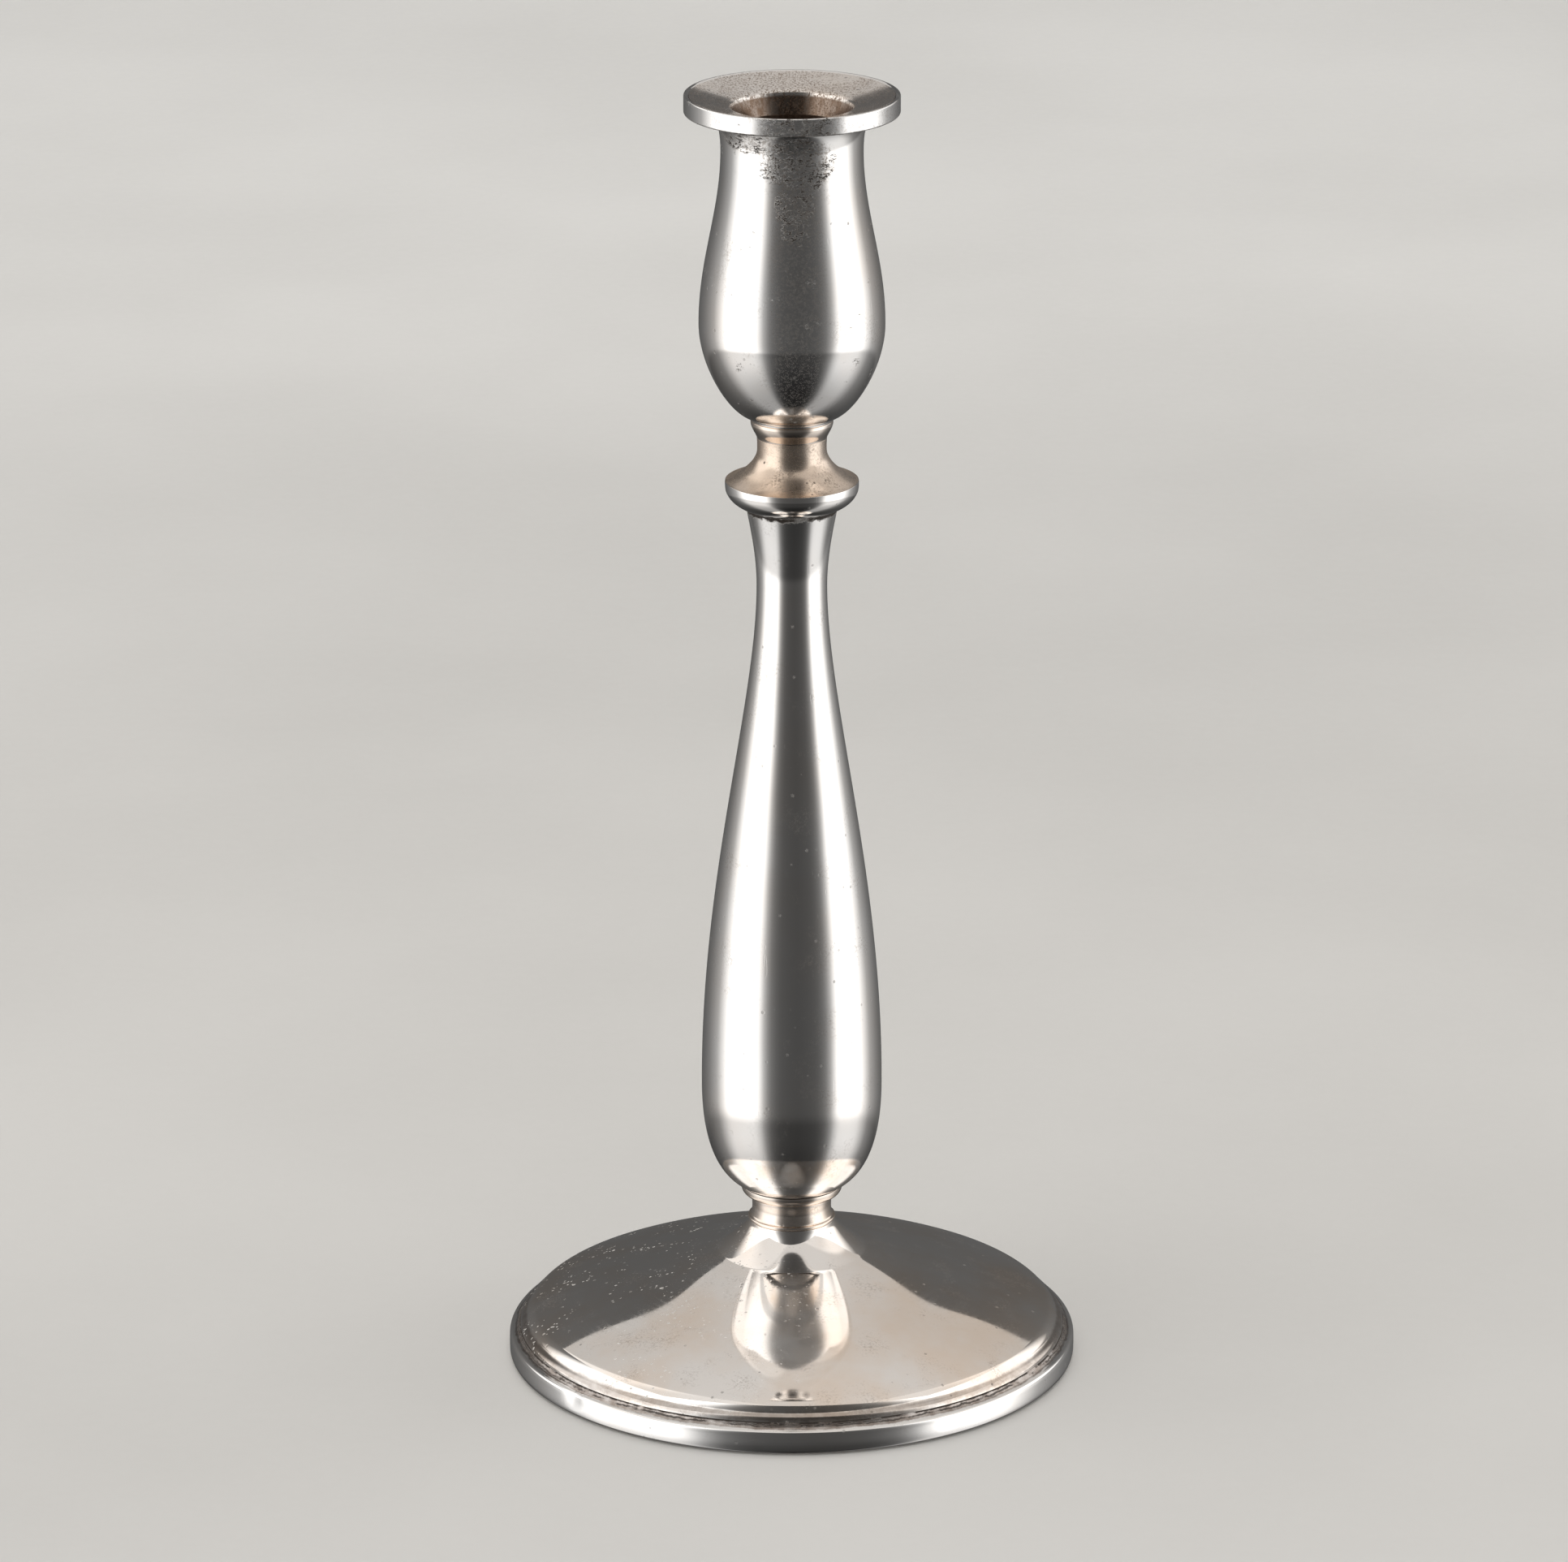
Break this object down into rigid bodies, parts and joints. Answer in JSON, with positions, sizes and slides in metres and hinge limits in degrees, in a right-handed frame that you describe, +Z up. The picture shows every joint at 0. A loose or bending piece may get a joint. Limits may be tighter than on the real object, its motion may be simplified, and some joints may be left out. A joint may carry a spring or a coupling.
{
  "type": "candlestick",
  "caption": "Tall turned silver candlestick with a round domed foot, a bulb-shaped stem, a vase-shaped cup and a dished nozzle that lifts out.",
  "frame": {"origin": "centre of the underside, on the surface that the candlestick stands on", "axes": "+Z up along the turning axis"},
  "size_m": [0.1142, 0.1142, 0.26],
  "materials": {
    "silver": "polished silver with light tarnish",
    "silver_warm": "polished silver with a warm brown tarnish",
    "silver_inner": "unpolished silver, tarnished",
    "steel": "plain mild steel",
    "loading": "poured plaster and pitch",
    "baize": "wool baize"
  },
  "bodies": {
    "candlestick": {"cup_shell": "silver", "cup_liner": "silver_inner", "cup_collar": "silver_warm", "knop_spool": "silver_warm", "knop_dish": "silver", "stem_shell": "silver", "stem_ring": "silver_warm", "foot_ferrule": "silver_warm", "foot_shell": "silver", "foot_rim_band": "silver", "base_plate": "steel", "baize_pad": "baize", "foot_loading": "loading", "stem_loading": "loading", "tie_rod": "steel", "tie_rod_top_washer": "steel", "tie_rod_top_nut": "steel", "tie_rod_foot_nut": "steel"},
    "nozzle": {"nozzle_pan": "silver", "nozzle_rim_band": "silver", "nozzle_candle_tube": "silver_inner"}
  },
  "joints": [
    {"name": "nozzle_lift", "type": "slide", "parent": "candlestick", "child": "nozzle", "axis": [0, 0, 1], "range_m": [0, 0.03]}
  ]
}
